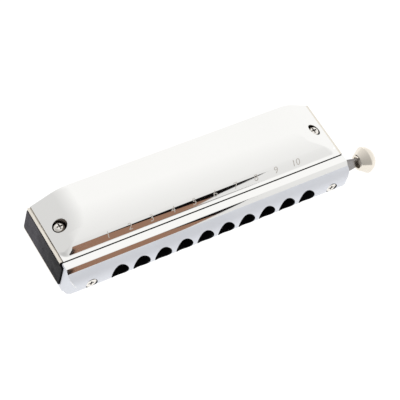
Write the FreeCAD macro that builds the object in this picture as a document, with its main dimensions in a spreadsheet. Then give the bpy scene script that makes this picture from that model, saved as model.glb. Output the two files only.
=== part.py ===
import FreeCAD, Part
import math
import os
import re

import Sketcher
from FreeCAD import Vector

# A ten-hole slide harmonica, in millimetres: x runs along the row of holes, y from
# the mouthpiece to the back, z up.  Sketches take the covers' front edge as y = 0 and
# the comb's middle layer as z = 0.  Every finished piece is then moved by the same
# amount, so that the lower cover's flat crown rests on z = 0 and the cover screws
# stand on y = 0.

DIMENSIONS = {
    # row of holes
    "hole_count": 10,
    "hole_pitch": 9.4,
    "hole_diameter": 7.4,
    # comb
    "comb_length": 127.6,
    "comb_front": -1.5,
    "comb_back": 26.1,
    "comb_height": 11.0,
    "comb_round": 1.0,
    "cell_width": 3.6,
    "cell_spacing": 4.7,
    "cell_back": 24.0,
    "cell_step": 0.7,
    "web_thickness": 1.4,
    # reed plates and what they carry
    "plate_length": 127.2,
    "plate_front": 0.4,
    "plate_back": 26.3,
    "plate_thickness": 1.0,
    "slot_width": 2.0,
    "slot_front": 5.5,
    "slot_length": 15.5,
    "slot_step": 0.75,
    "reed_width": 1.9,
    "reed_thickness": 0.2,
    "reed_gap": 0.15,
    "reed_base": 2.7,
    "tongue_lap": 0.5,
    "base_width": 2.6,
    "valve_width": 2.8,
    "valve_thickness": 0.12,
    "valve_overlap": 0.5,
    "rivet_radius": 0.6,
    "rivet_head": 0.3,
    "plate_screw_x": 50.0,
    "plate_screw_front": 5.0,
    "plate_screw_back": 22.0,
    "plate_screw_head": 1.5,
    "plate_screw_head_height": 0.8,
    "plate_screw_radius": 0.8,
    "plate_screw_length": 4.5,
    # covers
    "cover_length": 124.8,
    "cover_depth": 26.3,
    "sheet": 0.5,
    "lip_depth": 1.3,
    "lip_inset": 0.2,
    "inner_corner_back": 0.32,
    "inner_corner_drop": 0.385,
    "wall_top_depth": 3.8,
    "wall_top_height": 9.6,
    "front_radius": 28.75,
    "shoulder_depth": 10.05,
    "shoulder_height": 12.78,
    "shoulder_slope": 20,
    "shoulder_radius": 6.9,
    "crown_depth": 12.4,
    "crown_height": 13.2,
    "end_slope": 28,
    "end_edge_height": 7.1,
    "end_crease_round": 3.0,
    # cover screws and their cups
    "cover_screw_x": 57.4,
    "cup_radius": 2.8,
    "cover_head_radius": 2.3,
    "cover_head_height": 2.2,
    "head_side_share": 0.45,
    "head_round_share": 0.75,
    "head_top_share": 0.55,
    "cover_screw_radius": 1.0,
    "cover_screw_length": 5.5,
    "recess_width": 0.6,
    "recess_reach": 1.2,
    "recess_depth": 0.8,
    # slide and the plates that guide it
    "stack_length": 123.6,
    "stack_height": 11.0,
    "back_plate_front": -2.1,
    "slide_back": -2.2,
    "slide_front": -3.1,
    "front_plate_back": -3.2,
    "front_plate_front": -3.7,
    "blade_left": -57.2,
    "blade_height": 10.6,
    "neck_start": 64.0,
    "neck_end": 71.0,
    "neck_height": 5.3,
    "blade_right": 74.2,
    "window_width": 4.4,
    "window_height": 3.0,
    "window_level": 2.35,
    "travel": 4.7,
    # mouthpiece
    "mouthpiece_length": 126.2,
    "mouthpiece_back": -0.4,
    "ledge_front": -3.6,
    "ledge_height": 7.25,
    "bevel_front": -5.05,
    "bevel_height": 5.74,
    "nose_radius": 6.1,
    "channel_height": 11.4,
    "end_wall_back": -1.9,
    "end_round": 3.0,
    "mouth_screw_x": 54.4,
    "mouth_head_front": -8.7,
    "mouth_head_radius": 2.15,
    "mouth_head_depth": 1.2,
    "mouth_screw_radius": 0.9,
    "screw_slot_fit": 0.3,
    "mouth_screw_end": 3.5,
    # button
    "button_back": 71.2,
    "button_back_radius": 3.3,
    "button_rim": 74.7,
    "button_rim_radius": 5.65,
    "button_shoulder": 76.7,
    "button_shoulder_radius": 5.0,
    "button_face": 77.9,
    "button_face_radius": 3.4,
    "button_face_round": 2.5,
    "button_bore_radius": 2.3,
    "button_bore_depth": 1.0,
    "blade_fit": 0.03,
    "button_pin_x": 72.9,
    "button_pin_radius": 0.6,
    "button_pin_front": -2.0,
    "button_pin_back": 4.0,
    # return spring
    "post_x": 56.0,
    "post_y": 7.5,
    "post_radius": 0.8,
    "post_depth": 2.5,
    "pocket_radius": 3.0,
    "pocket_floor": 2.0,
    "leg_level": 2.6,
    "coil_radius": 1.3,
    "wire_radius": 0.3,
    "coil_pitch": 0.8,
    "coil_turns": 3,
    "leg_length": 11.0,
    "tail_length": 1.0,
    "rest_tilt": 16,
    "leg_resting": 4.1,
    "leg_clearance": 0.25,
    "channel_left": 0.9,
    "channel_right": 5.0,
    "channel_waist": 2.6,
    "front_slot_left": -0.5,
    "front_slot_right": 3.2,
    "back_slot_left": -0.2,
    "notch_left": 0.05,
    "notch_right": 0.25,
    "notch_fit": 0.15,
    # how close screws and posts pass through plates
    "hole_fit": 0.1,
}

doc = FreeCAD.newDocument("SlideHarmonica")
pieces = []


def make_sheet():
    """Put every dimension in the spreadsheet, under its own name."""
    sheet = doc.addObject("Spreadsheet::Sheet", "Dimensions")
    for row, (name, value) in enumerate(DIMENSIONS.items(), start=1):
        sheet.set("A%d" % row, name)
        sheet.set("B%d" % row, str(value))
        sheet.setAlias("B%d" % row, name)
    doc.recompute()
    return sheet


sheet = make_sheet()


def formula(text):
    """Point the dimension names in a formula at the spreadsheet."""
    def point(word):
        name = word.group()
        return "Dimensions." + name if name in DIMENSIONS else name
    return re.sub(r"[a-z_]+", point, str(text))


def value(text):
    """Work a formula out as a plain number."""
    result = sheet.evalExpression(formula(text))
    return float(getattr(result, "Value", result))


def bind(thing, **formulas):
    """Bind properties of an object to formulas of the sheet."""
    for name, text in formulas.items():
        thing.setExpression(name.replace("__", "."), formula(text))


def place(thing, x=0, y=0, z=0):
    bind(thing, Placement__Base__x=x, Placement__Base__y=y, Placement__Base__z=z)


def block(name, x, y, z, length, depth, height):
    """A box from its low corner and its three sizes."""
    box = doc.addObject("Part::Box", name)
    bind(box, Length=length, Width=depth, Height=height)
    place(box, x, y, z)
    return box


def rod(name, x, y, z, radius, height, along=None):
    """A cylinder from the middle of its low end, upright unless along is given."""
    cylinder = doc.addObject("Part::Cylinder", name)
    bind(cylinder, Radius=radius, Height=height)
    if along:
        cylinder.Placement.Rotation = FreeCAD.Rotation(Vector(0, 0, 1), along)
    place(cylinder, x, y, z)
    return cylinder


def group(name, members):
    compound = doc.addObject("Part::Compound", name)
    compound.Links = members
    return compound


def cut(name, base, tools):
    """Take the tools away from the base."""
    result = doc.addObject("Part::Cut", name)
    result.Base = base
    result.Tool = tools[0] if len(tools) == 1 else fuse(name + "_tools", tools)
    return result


def fuse(name, members):
    joined = doc.addObject("Part::MultiFuse", name)
    joined.Shapes = members
    return joined


def mirrored(name, source, normal):
    """The source's mirror image across a plane through the sketches' zero."""
    copy = doc.addObject("Part::Mirroring", name)
    copy.Source = source
    copy.Normal = normal
    return copy


def piece(name, source):
    """Wrap a finished shape as a named piece and move it into the object's frame."""
    finished = group(name, [source])
    finished.Label = name
    place(finished, 0, "-cover_depth / 2", "crown_height")
    pieces.append(finished)


def both_levels(upper_name, lower_name, source):
    """The upper piece and the same piece mirrored below the comb."""
    piece(upper_name, source)
    piece(lower_name, mirrored(lower_name + "_shape", source, Vector(0, 0, 1)))


def body(name):
    return doc.addObject("PartDesign::Body", name)


def sketch(owner, name, plane, offset=0):
    """A sketch on one of the body's origin planes, or at an offset from it."""
    drawing = owner.newObject("Sketcher::SketchObject", name)
    role = plane + "_Plane"
    support = [item for item in owner.Origin.OriginFeatures if item.Role == role][0]
    drawing.AttachmentSupport = [(support, "")]
    drawing.MapMode = "FlatFace"
    bind(drawing, AttachmentOffset__Base__z=offset)
    return drawing


def fix_point(drawing, curve, end, x, y):
    """Tie one point of a curve to formulas for its two coordinates."""
    for kind, text in (("DistanceX", x), ("DistanceY", y)):
        index = drawing.addConstraint(Sketcher.Constraint(kind, -1, 1, curve, end, value(text)))
        drawing.setExpression("Constraints[%d]" % index, formula(text))


def arc_through(start, end, radius):
    """The counter-clockwise arc of a radius from start to end."""
    chord = end - start
    left = Vector(-chord.y, chord.x, 0).normalize()
    rise = math.sqrt(radius ** 2 - (chord.Length / 2) ** 2)
    centre = (start + end) * 0.5 + left * rise
    return Part.Arc(start, centre - left * radius, end)


def outline(drawing, corners):
    """Draw a closed loop.  A corner is (x, y), or (x, y, radius) where an arc leaves it.

    A positive radius bulges to the right of the way round, a negative one to the left.
    """
    first = drawing.GeometryCount
    count = len(corners)
    spots = [Vector(value(corner[0]), value(corner[1]), 0) for corner in corners]
    starts = []
    ends = []
    for index, corner in enumerate(corners):
        start = spots[index]
        end = spots[(index + 1) % count]
        bulge = value(corner[2]) if len(corner) == 3 else 0
        if bulge == 0:
            drawing.addGeometry(Part.LineSegment(start, end))
        elif bulge > 0:
            drawing.addGeometry(arc_through(start, end, bulge))
        else:
            drawing.addGeometry(arc_through(end, start, -bulge))
        starts.append(2 if bulge < 0 else 1)
        ends.append(1 if bulge < 0 else 2)
    for index, corner in enumerate(corners):
        curve = first + index
        following = (index + 1) % count
        drawing.addConstraint(
            Sketcher.Constraint("Coincident", curve, ends[index], first + following, starts[following])
        )
        fix_point(drawing, curve, starts[index], corner[0], corner[1])
        if len(corner) == 3:
            size = abs(value(corner[2]))
            mark = drawing.addConstraint(Sketcher.Constraint("Radius", curve, size))
            drawing.setExpression("Constraints[%d]" % mark, "abs(%s)" % formula(corner[2]))


def rectangle(drawing, left, low, right, high):
    outline(drawing, [(left, low), (right, low), (right, high), (left, high)])


def disc(drawing, x, y, radius):
    curve = drawing.addGeometry(Part.Circle(Vector(value(x), value(y), 0), Vector(0, 0, 1), value(radius)))
    fix_point(drawing, curve, 3, x, y)
    mark = drawing.addConstraint(Sketcher.Constraint("Radius", curve, value(radius)))
    drawing.setExpression("Constraints[%d]" % mark, formula(radius))


def fix_across(drawing, curve, end, x):
    """Tie only the sideways coordinate of one point of a curve."""
    index = drawing.addConstraint(Sketcher.Constraint("DistanceX", -1, 1, curve, end, value(x)))
    drawing.setExpression("Constraints[%d]" % index, formula(x))


def capsule(drawing, left, right, level, radius):
    """A slot with round ends, from the centre of one end to the centre of the other."""
    size = value(radius)
    ends = []
    for x, turn in ((right, -math.pi / 2), (left, math.pi / 2)):
        circle = Part.Circle(Vector(value(x), value(level), 0), Vector(0, 0, 1), size)
        curve = drawing.addGeometry(Part.ArcOfCircle(circle, turn, turn + math.pi))
        fix_point(drawing, curve, 3, x, level)
        mark = drawing.addConstraint(Sketcher.Constraint("Radius", curve, size))
        drawing.setExpression("Constraints[%d]" % mark, formula(radius))
        fix_across(drawing, curve, 1, x)
        fix_across(drawing, curve, 2, x)
        ends.append(curve)
    for first, second in (ends, ends[::-1]):
        start = drawing.getPoint(first, 2)
        finish = drawing.getPoint(second, 1)
        line = drawing.addGeometry(Part.LineSegment(start, finish))
        drawing.addConstraint(Sketcher.Constraint("Coincident", first, 2, line, 1))
        drawing.addConstraint(Sketcher.Constraint("Coincident", line, 2, second, 1))


def plus(drawing, reach, width):
    """A cross for a screwdriver, centred on the sketch's zero."""
    far = "%s" % reach
    near = "%s / 2" % width
    outline(drawing, [
        (near, "-" + far), (near, "-" + near), (far, "-" + near), (far, near),
        (near, near), (near, far), ("-" + near, far), ("-" + near, near),
        ("-" + far, near), ("-" + far, "-" + near), ("-" + near, "-" + near), ("-" + near, "-" + far),
    ])


def pad(owner, name, drawing, length, both_ways=False):
    feature = owner.newObject("PartDesign::Pad", name)
    feature.Profile = drawing
    feature.SideType = "Symmetric" if both_ways else "One side"
    bind(feature, Length=length)
    return feature


def pocket(owner, name, drawing, depth=None, both_ways=False, forwards=False):
    """Cut a sketch into the body, right through when no depth is given."""
    feature = owner.newObject("PartDesign::Pocket", name)
    feature.Profile = drawing
    feature.Reversed = forwards
    feature.SideType = "Symmetric" if both_ways else "One side"
    if depth is None:
        feature.Type = "ThroughAll"
    else:
        feature.Type = "Length"
        bind(feature, Length=depth)
    return feature


def row(owner, name, feature, drawing):
    """Repeat a cut at every hole of the row."""
    pattern = owner.newObject("PartDesign::LinearPattern", name)
    pattern.Originals = [feature]
    pattern.Direction = (drawing, ["H_Axis"])
    bind(pattern, Length="hole_pitch * (hole_count - 1)", Occurrences="hole_count")
    owner.Tip = pattern
    return pattern


def twin(owner, name, feature):
    """Repeat a cut on the other side of the middle, left for right."""
    copy = owner.newObject("PartDesign::Mirrored", name)
    copy.Originals = [feature]
    middle = [item for item in owner.Origin.OriginFeatures if item.Role == "YZ_Plane"][0]
    copy.MirrorPlane = (middle, [""])
    owner.Tip = copy
    return copy


def spin(owner, name, drawing, axis):
    """Turn a half profile into a solid of revolution."""
    feature = owner.newObject("PartDesign::Revolution", name)
    feature.Profile = drawing
    feature.ReferenceAxis = (drawing, [axis])
    feature.Angle = 360
    return feature


# ---------------------------------------------------------------- comb

PLATE_LOW = "comb_height / 2"
PLATE_HIGH = "(comb_height / 2 + plate_thickness)"
FIRST_HOLE = "(-hole_pitch * (hole_count - 1) / 2)"


def hole_x(index):
    return "(%s + hole_pitch * %d)" % (FIRST_HOLE, index)


def blow_x(index):
    return "(%s - cell_spacing / 2)" % hole_x(index)


def draw_x(index):
    return "(%s + cell_spacing / 2)" % hole_x(index)


def make_comb():
    """The moulded core: two layers of cells, a spring pocket and screw holes."""
    core = body("comb_core")
    profile = sketch(core, "comb_profile", "YZ")
    half = "comb_height / 2"
    outline(profile, [
        ("comb_front", "-" + half), ("comb_back - comb_round", "-" + half, "comb_round"),
        ("comb_back", "-%s + comb_round" % half), ("comb_back", half), ("comb_front", half),
    ])
    pad(core, "comb_block", profile, "comb_length", both_ways=True)
    top = sketch(core, "spring_pocket", "XY", half)
    disc(top, "post_x", "post_y", "pocket_radius")
    pocket(core, "pocket_cut", top, "comb_height / 2 - pocket_floor")
    channel = sketch(core, "leg_channel", "XY", half)
    outline(channel, [
        ("post_x - channel_left", "comb_front - 1"), ("post_x + channel_right", "comb_front - 1"),
        ("post_x + channel_waist", "post_y"), ("post_x", "post_y"),
    ])
    pocket(core, "channel_cut", channel, "comb_height / 2 - pocket_floor")

    upper = []
    for index in range(int(DIMENSIONS["hole_count"])):
        for kind, middle in (("blow", blow_x(index)), ("draw", draw_x(index))):
            upper.append(block(
                "%s_cell_%d" % (kind, index + 1),
                "%s - cell_width / 2" % middle, "comb_front - 1", "web_thickness / 2",
                "cell_width", "cell_back - cell_step * %d - comb_front + 1" % index, "comb_height / 2",
            ))
    for side, way in (("left", "-1"), ("right", "1")):
        upper.append(rod("comb_%s_cover_screw" % side, "%s * cover_screw_x" % way, "cover_depth / 2",
                         "%s - cover_screw_length" % PLATE_HIGH, "cover_screw_radius", "cover_screw_length"))
        for end in ("front", "back"):
            upper.append(rod("comb_%s_%s_screw" % (side, end), "%s * plate_screw_x" % way,
                             "plate_screw_" + end, "%s - plate_screw_length" % PLATE_HIGH,
                             "plate_screw_radius", "plate_screw_length"))
    holes = fuse("comb_upper_holes", upper)
    tools = [holes, mirrored("comb_lower_holes", holes, Vector(0, 0, 1))]
    for side, way in (("left", "-1"), ("right", "1")):
        tools.append(rod("comb_%s_mouth_screw" % side, "%s * mouth_screw_x" % way, "comb_front - 1", 0,
                         "mouth_screw_radius", "mouth_screw_end - comb_front + 1", along=Vector(0, 1, 0)))
    tools.append(rod("comb_post_hole", "post_x", "post_y", "pocket_floor - post_depth",
                     "post_radius", "post_depth + 1"))
    piece("comb", cut("comb_shape", core, tools))


# ---------------------------------------------------------------- reed plates

def reed_slots():
    """One tapering row of slots for each kind of reed, as (kind, index, middle)."""
    for index in range(int(DIMENSIONS["hole_count"])):
        yield "blow", index, blow_x(index)
        yield "draw", index, draw_x(index)


def slot_end(index):
    return "(slot_front + slot_length - slot_step * %d)" % index


def rivet_y(kind, index):
    """Blow reeds are held behind their slots, draw reeds in front of them."""
    if kind == "blow":
        return "(%s + reed_base / 2)" % slot_end(index)
    return "(slot_front - reed_base / 2)"


def make_reed_plates():
    """Brass plates with a slot and a rivet hole for each reed."""
    blank = block("plate_blank", "-plate_length / 2", "plate_front", PLATE_LOW,
                  "plate_length", "plate_back - plate_front", "plate_thickness")
    through = "plate_thickness + 2"
    below = "%s - 1" % PLATE_LOW
    tools = []
    for kind, index, middle in reed_slots():
        tools.append(block("%s_slot_%d" % (kind, index + 1), "%s - slot_width / 2" % middle,
                           "slot_front", below, "slot_width", "%s - slot_front" % slot_end(index), through))
        tools.append(rod("%s_rivet_hole_%d" % (kind, index + 1), middle, rivet_y(kind, index),
                         below, "rivet_radius", through))
    for side, way in (("left", "-1"), ("right", "1")):
        tools.append(rod("plate_%s_cover_hole" % side, "%s * cover_screw_x" % way, "cover_depth / 2",
                         below, "cover_screw_radius + hole_fit", through))
        for end in ("front", "back"):
            tools.append(rod("plate_%s_%s_hole" % (side, end), "%s * plate_screw_x" % way,
                             "plate_screw_" + end, below, "plate_screw_radius + hole_fit", through))
    both_levels("upper_reed_plate", "lower_reed_plate", cut("plate_shape", blank, tools))


def make_reeds(kind):
    """Ten reeds of one kind: a wide riveted base and a long narrow tongue."""
    low = "%s - reed_thickness" % PLATE_LOW if kind == "blow" else PLATE_HIGH
    reeds = []
    for name, index, middle in reed_slots():
        if name != kind:
            continue
        if kind == "blow":
            tongue_front = "slot_front + reed_gap"
            tongue_back = "%s + tongue_lap" % slot_end(index)
        else:
            tongue_front = "slot_front - tongue_lap"
            tongue_back = "%s - reed_gap" % slot_end(index)
        base_front = slot_end(index) if kind == "blow" else "slot_front - reed_base"
        tongue = block("%s_tongue_%d" % (kind, index + 1), "%s - reed_width / 2" % middle,
                       tongue_front, low, "reed_width", "%s - (%s)" % (tongue_back, tongue_front),
                       "reed_thickness")
        base = block("%s_base_%d" % (kind, index + 1), "%s - base_width / 2" % middle,
                     base_front, low, "base_width", "reed_base", "reed_thickness")
        hole = rod("%s_reed_hole_%d" % (kind, index + 1), middle, rivet_y(kind, index),
                   "%s - 1" % low, "rivet_radius", "reed_thickness + 2")
        whole = fuse("%s_reed_blank_%d" % (kind, index + 1), [tongue, base])
        reeds.append(cut("%s_reed_%d" % (kind, index + 1), whole, [hole]))
    both_levels("upper_%s_reeds" % kind, "lower_%s_reeds" % kind, group(kind + "_reeds_shape", reeds))


def make_rivets():
    """A rivet through each reed's base and the plate, with a head on the reed's side."""
    length = "plate_thickness + reed_thickness + rivet_head"
    rivets = []
    for kind, index, middle in reed_slots():
        low = "%s - reed_thickness - rivet_head" % PLATE_LOW if kind == "blow" else PLATE_LOW
        rivets.append(rod("%s_rivet_%d" % (kind, index + 1), middle, rivet_y(kind, index),
                          low, "rivet_radius", length))
    both_levels("upper_reed_rivets", "lower_reed_rivets", group("rivets_shape", rivets))


def make_valves(kind, place_name):
    """Thin strips that close each slot on the side away from its reed."""
    low = PLATE_HIGH if kind == "blow" else "%s - valve_thickness" % PLATE_LOW
    valves = []
    for name, index, middle in reed_slots():
        if name == kind:
            valves.append(block("%s_valve_%d" % (kind, index + 1), "%s - valve_width / 2" % middle,
                                "slot_front - valve_overlap", low, "valve_width",
                                "%s - slot_front + 2 * valve_overlap" % slot_end(index), "valve_thickness"))
    both_levels("upper_%s_valves" % place_name, "lower_%s_valves" % place_name,
                group(kind + "_valves_shape", valves))


# ---------------------------------------------------------------- screws

def make_screw(name, profile_corners, recess_level):
    """A screw standing on its own axis, with a cross recess at the given level."""
    screw = body(name)
    profile = sketch(screw, name + "_profile", "XZ")
    outline(profile, profile_corners)
    spin(screw, name + "_turned", profile, "V_Axis")
    recess = sketch(screw, name + "_recess", "XY", recess_level)
    plus(recess, "recess_reach", "recess_width")
    pocket(screw, name + "_recess_cut", recess, "recess_depth")
    return screw


def four_ways(name, screw):
    """The screw and its mirror images left and right, above and below."""
    pair = group(name + "_pair", [screw, mirrored(name + "_left", screw, Vector(1, 0, 0))])
    return group(name, [pair, mirrored(name + "_below", pair, Vector(0, 0, 1))])


def make_cover_screws():
    """Pan-head screws: the head's flat underside is zero."""
    head = "cover_head_height"
    wide = "cover_head_radius"
    shank = "cover_screw_radius"
    screw = make_screw("cover_screw", [
        (0, "-cover_screw_length - sheet"), (shank, "-cover_screw_length - sheet"), (shank, 0), (wide, 0),
        (wide, head + " * head_side_share", head + " * head_round_share"),
        (wide + " * head_top_share", head), (0, head),
    ], head)
    place(screw, "cover_screw_x", "cover_depth / 2", "%s + sheet" % PLATE_HIGH)
    piece("cover_screws", four_ways("cover_screws_shape", screw))


def make_plate_screws():
    """Small screws that hold each reed plate to the comb."""
    head = "plate_screw_head_height"
    shank = "plate_screw_radius"
    screws = []
    for end in ("front", "back"):
        screw = make_screw("plate_screw_" + end + "_body", [
            (0, "-plate_screw_length"), (shank, "-plate_screw_length"), (shank, 0),
            ("plate_screw_head", 0), ("plate_screw_head", head), (0, head),
        ], head)
        place(screw, "plate_screw_x", "plate_screw_" + end, PLATE_HIGH)
        screws += [screw, mirrored("plate_screw_%s_left" % end, screw, Vector(1, 0, 0))]
    both_levels("upper_plate_screws", "lower_plate_screws", group("plate_screws_shape", screws))


def make_mouthpiece_screws():
    """Countersunk screws through the mouthpiece and slide stack into the comb."""
    length = "(mouth_screw_end - mouth_head_front)"
    wide = "mouth_head_radius"
    shank = "mouth_screw_radius"
    screw = make_screw("mouth_screw", [
        (0, "-" + length), (shank, "-" + length), (shank, "-mouth_head_depth"), (wide, 0), (0, 0),
    ], 0)
    screw.Placement.Rotation = FreeCAD.Rotation(Vector(0, 0, 1), Vector(0, -1, 0))
    place(screw, "mouth_screw_x", "mouth_head_front", 0)
    piece("mouthpiece_screws", group("mouthpiece_screws_shape", [
        screw, mirrored("mouth_screw_left", screw, Vector(1, 0, 0)),
    ]))


# ---------------------------------------------------------------- covers

def end_line_x(height, inset):
    """How far out the end wall's surface is at a height."""
    drop = "(%s - end_edge_height + %s / cos(end_slope * 1 deg))" % (height, inset)
    return "(cover_length / 2 - %s / tan(end_slope * 1 deg))" % drop


def cover_form(name, corners, length, inset, low, high):
    """The covers' shape as a solid: one profile along x with a sloping cut at each end."""
    form = body(name)
    profile = sketch(form, name + "_profile", "YZ")
    outline(profile, corners)
    pad(form, name + "_length", profile, length, both_ways=True)
    ends = sketch(form, name + "_end", "XZ")
    outline(ends, [
        (end_line_x(low, inset), low), ("cover_length / 2 + 20", low),
        ("cover_length / 2 + 20", high), (end_line_x(high, inset), high),
    ])
    first = pocket(form, name + "_right_end", ends, both_ways=True)
    twin(form, name + "_both_ends", first)
    return form


def round_end_creases(form, name, radius):
    """Round the edges between each sloping end wall and the rest of the cover."""
    doc.recompute()
    slope = math.radians(DIMENSIONS["end_slope"])
    chosen = []
    for number, edge in enumerate(form.Shape.Edges, start=1):
        faces = form.Shape.ancestorsOfType(edge, Part.Face)
        sloping = 0
        for face in faces:
            normal = face.normalAt(0.5, 0.5)
            same = abs(abs(normal.x) - math.sin(slope)) < 0.001 and abs(normal.y) < 0.001
            sloping += 1 if same else 0
        box = edge.BoundBox
        above = DIMENSIONS["end_edge_height"] + DIMENSIONS["sheet"]
        if sloping == 1 and box.YLength > DIMENSIONS["sheet"] and box.ZMax > above:
            chosen.append("Edge%d" % number)
    last = form.Tip
    fillet = form.newObject("PartDesign::Fillet", name)
    fillet.Base = (last, chosen)
    bind(fillet, Radius=radius)
    return fillet


def make_covers():
    """Pressed sheet covers: outer form less inner form, with a drawn cup for each screw."""
    foot = PLATE_HIGH
    lean = "shoulder_slope * 1 deg"
    outer = cover_form("cover_outer", [
        (0, foot), ("cover_depth", foot), ("cover_depth", "crown_height"),
        ("crown_depth", "crown_height", "shoulder_radius"),
        ("shoulder_depth", "shoulder_height", "front_radius"), ("wall_top_depth", "wall_top_height"),
        ("lip_depth", foot + " + sheet"), (0, foot + " + sheet"),
    ], "cover_length", 0, "end_edge_height - 2", "crown_height + 3")
    inner = cover_form("cover_inner", [
        ("lip_depth + lip_inset", foot + " - 1"), ("cover_depth + 2", foot + " - 1"),
        ("cover_depth + 2", "crown_height - sheet"),
        ("crown_depth", "crown_height - sheet", "shoulder_radius - sheet"),
        ("shoulder_depth + sheet * sin(%s)" % lean, "shoulder_height - sheet * cos(%s)" % lean,
         "front_radius - sheet"),
        ("wall_top_depth + inner_corner_back", "wall_top_height - inner_corner_drop"),
        ("lip_depth + lip_inset", foot),
    ], "cover_length + 10", "sheet", "end_edge_height - 4", "crown_height + 3")
    round_end_creases(outer, "outer_end_round", "end_crease_round")
    round_end_creases(inner, "inner_end_round", "end_crease_round - sheet")
    posts = []
    bores = []
    for side, way in (("left", "-1"), ("right", "1")):
        x = "%s * cover_screw_x" % way
        y = "cover_depth / 2"
        posts.append(rod("cup_post_" + side, x, y, foot, "cup_radius + sheet", "crown_height"))
        bores.append(rod("cup_bore_" + side, x, y, foot + " + sheet", "cup_radius", "crown_height"))
        bores.append(rod("cup_hole_" + side, x, y, foot + " - 1", "cover_screw_radius + hole_fit", 3))
    hollow = cut("cover_hollow", inner, posts)
    shell = cut("cover_shell", outer, [hollow])
    both_levels("upper_cover", "lower_cover", cut("cover_shape", shell, bores))


# ---------------------------------------------------------------- slide stack

def stack_plate(name, front, back, rows):
    """A flat plate of the slide stack, upright, with a row of openings for the holes."""
    plate = body(name)
    face = sketch(plate, name + "_outline", "XZ", "-(%s)" % back)
    rectangle(face, "-stack_length / 2", "-stack_height / 2", "stack_length / 2", "stack_height / 2")
    pad(plate, name + "_sheet", face, "%s - (%s)" % (back, front))
    hole = sketch(plate, name + "_screw_hole", "XZ")
    disc(hole, "mouth_screw_x", 0, "mouth_screw_radius + hole_fit")
    first = pocket(plate, name + "_screw_cut", hole, both_ways=True)
    twin(plate, name + "_screw_holes", first)
    rows(plate, name)
    return plate


def leg_slot(plate, name, left, right):
    """Room for the spring's leg to swing through a plate."""
    opening = sketch(plate, name + "_leg_slot", "XZ")
    capsule(opening, "post_x + " + left, "post_x + " + right, "leg_level", "(wire_radius + leg_clearance)")
    plate.Tip = pocket(plate, name + "_leg_cut", opening, both_ways=True)


def round_holes(plate, name):
    """The front plate has the mouthpiece's round holes, and clears the leg's tip."""
    opening = sketch(plate, name + "_first_hole", "XZ")
    disc(opening, FIRST_HOLE, 0, "hole_diameter / 2")
    first = pocket(plate, name + "_first_cut", opening, both_ways=True)
    row(plate, name + "_holes", first, opening)
    leg_slot(plate, name, "front_slot_left", "front_slot_right")


def window_row(plate, name, level, shift):
    """A row of rectangular windows, one for each hole, at a level and a sideways shift."""
    opening = sketch(plate, name + "_first_window", "XZ")
    middle = "(%s + %s)" % (FIRST_HOLE, shift)
    rectangle(opening, "%s - window_width / 2" % middle, "%s - window_height / 2" % level,
              "%s + window_width / 2" % middle, "%s + window_height / 2" % level)
    first = pocket(plate, name + "_first_cut", opening, both_ways=True)
    row(plate, name + "_windows", first, opening)


def cell_windows(plate, name):
    """The back plate opens onto both layers of the comb."""
    window_row(plate, name + "_upper", "window_level", 0)
    window_row(plate, name + "_lower", "-window_level", 0)
    leg_slot(plate, name, "back_slot_left", "leg_resting")


def make_stack_plates():
    piece("slide_back_plate", stack_plate("back_plate", "back_plate_front", "comb_front", cell_windows))
    front = stack_plate("front_plate", "front_plate_front", "front_plate_back", round_holes)
    piece("slide_front_plate", front)


def make_slide():
    """The moving blade: two rows of windows half a pitch apart and a tapered neck."""
    blade = body("slide_blade")
    face = sketch(blade, "blade_outline", "XZ", "-slide_back")
    half = "blade_height / 2"
    neck = "neck_height / 2"
    outline(face, [
        ("blade_left", "-" + half), ("neck_start", "-" + half), ("neck_end", "-" + neck),
        ("blade_right", "-" + neck), ("blade_right", neck), ("neck_end", neck),
        ("neck_start", half), ("blade_left", half),
    ])
    pad(blade, "blade_sheet", face, "slide_back - slide_front")
    for side in ("left", "right"):
        way = "-" if side == "left" else ""
        slot = sketch(blade, "blade_%s_screw_slot" % side, "XZ")
        capsule(slot, "%smouth_screw_x" % way, "%smouth_screw_x + travel" % way, 0,
                "(mouth_screw_radius + screw_slot_fit)")
        pocket(blade, "blade_%s_screw_cut" % side, slot, both_ways=True)
    notch = sketch(blade, "leg_notch", "XZ")
    resting = "post_x + leg_resting"
    capsule(notch, resting + " + notch_left", resting + " + notch_right", "leg_level",
            "(wire_radius + notch_fit)")
    pocket(blade, "leg_notch_cut", notch, both_ways=True)
    pin_hole = sketch(blade, "button_pin_hole", "XZ")
    disc(pin_hole, "button_pin_x", 0, "button_pin_radius")
    pocket(blade, "button_pin_cut", pin_hole, both_ways=True)
    window_row(blade, "blade_upper", "window_level", 0)
    window_row(blade, "blade_lower", "-window_level", "travel")
    piece("slide", blade)


# ---------------------------------------------------------------- mouthpiece

NOSE_TIP = "(bevel_front + sqrt(nose_radius ^ 2 - bevel_height ^ 2) - nose_radius)"


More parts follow.
